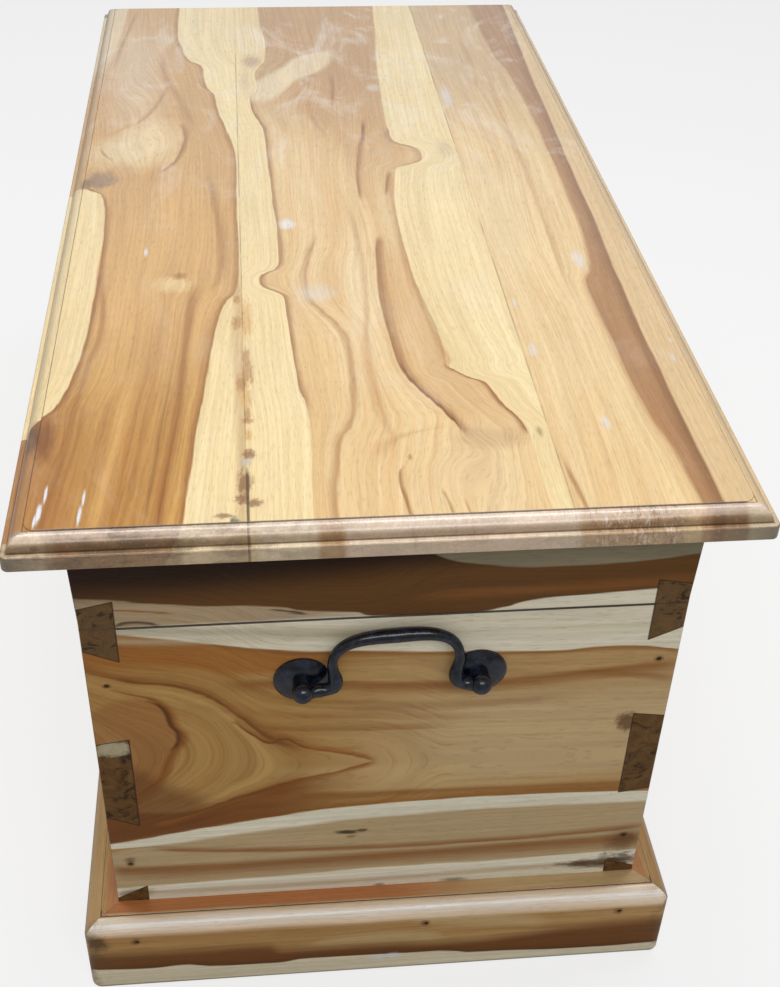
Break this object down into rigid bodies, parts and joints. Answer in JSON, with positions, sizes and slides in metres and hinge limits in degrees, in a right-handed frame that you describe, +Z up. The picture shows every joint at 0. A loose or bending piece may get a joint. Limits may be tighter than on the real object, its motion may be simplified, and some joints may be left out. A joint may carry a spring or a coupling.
{
  "type": "sea chest",
  "caption": "Dovetailed teak chest with a hinged moulded lid, mitred plinth and an iron bail handle on each end.",
  "frame": {"origin": "middle of the footprint, on the floor under the plinth", "axes": "+X along the chest's length to its right end, +Y to the hinged back, +Z up"},
  "size_m": [1, 0.5, 0.49],
  "materials": {
    "lid_teak": "glossy varnish",
    "wall_teak": "satin varnish",
    "plinth_teak": "glossy varnish",
    "inside_teak": "bare, planed",
    "black_iron": "black, semi-gloss",
    "brass": "dull",
    "bright_steel": "plain"
  },
  "bodies": {
    "box": {"back_lower": "wall_teak", "back_upper": "wall_teak", "bottom_board_back": "inside_teak", "bottom_board_front": "inside_teak", "bottom_board_middle": "inside_teak", "bottom_cleat_back": "inside_teak", "bottom_cleat_front": "inside_teak", "bottom_cleat_left": "inside_teak", "bottom_cleat_right": "inside_teak", "bottom_nails": "bright_steel", "cleat_screws": "bright_steel", "corner_nails": "bright_steel", "end_left_lower": "wall_teak", "end_left_upper": "wall_teak", "end_right_lower": "wall_teak", "end_right_upper": "wall_teak", "front_lower": "wall_teak", "front_upper": "wall_teak", "handle_nuts": "bright_steel", "handle_washers": "bright_steel", "hinge_leaf_box_left": "brass", "hinge_leaf_box_right": "brass", "hinge_pin_left": "brass", "hinge_pin_right": "brass", "hinge_screws_box": "brass", "plinth_back": "plinth_teak", "plinth_front": "plinth_teak", "plinth_left": "plinth_teak", "plinth_nails": "bright_steel", "plinth_right": "plinth_teak", "post_left_back": "black_iron", "post_left_front": "black_iron", "post_right_back": "black_iron", "post_right_front": "black_iron", "rose_left_back": "black_iron", "rose_left_front": "black_iron", "rose_right_back": "black_iron", "rose_right_front": "black_iron"},
    "lid": {"hinge_leaf_lid_left": "brass", "hinge_leaf_lid_right": "brass", "hinge_screws_lid": "brass", "lid_batten_left": "inside_teak", "lid_batten_right": "inside_teak", "lid_batten_screws": "bright_steel", "lid_plank_back": "lid_teak", "lid_plank_front": "lid_teak", "lid_plank_middle": "lid_teak", "lid_rail_back": "wall_teak", "lid_rail_front": "wall_teak", "lid_rail_left": "wall_teak", "lid_rail_right": "wall_teak"},
    "handle_left": {"bail_left": "black_iron"},
    "handle_right": {"bail_right": "black_iron"}
  },
  "joints": [
    {"name": "lid_hinge", "type": "hinge", "parent": "box", "child": "lid", "pos_m": [0, 0.2185, 0.382], "axis": [-1, 0, 0], "range_deg": [0, 155]},
    {"name": "bail_left_swing", "type": "hinge", "parent": "box", "child": "handle_left", "pos_m": [-0.4765, -0.0025, 0.325], "axis": [0, -1, 0], "range_deg": [0, 196]},
    {"name": "bail_right_swing", "type": "hinge", "parent": "box", "child": "handle_right", "pos_m": [0.4765, -0.0025, 0.325], "axis": [0, 1, 0], "range_deg": [0, 196]}
  ]
}
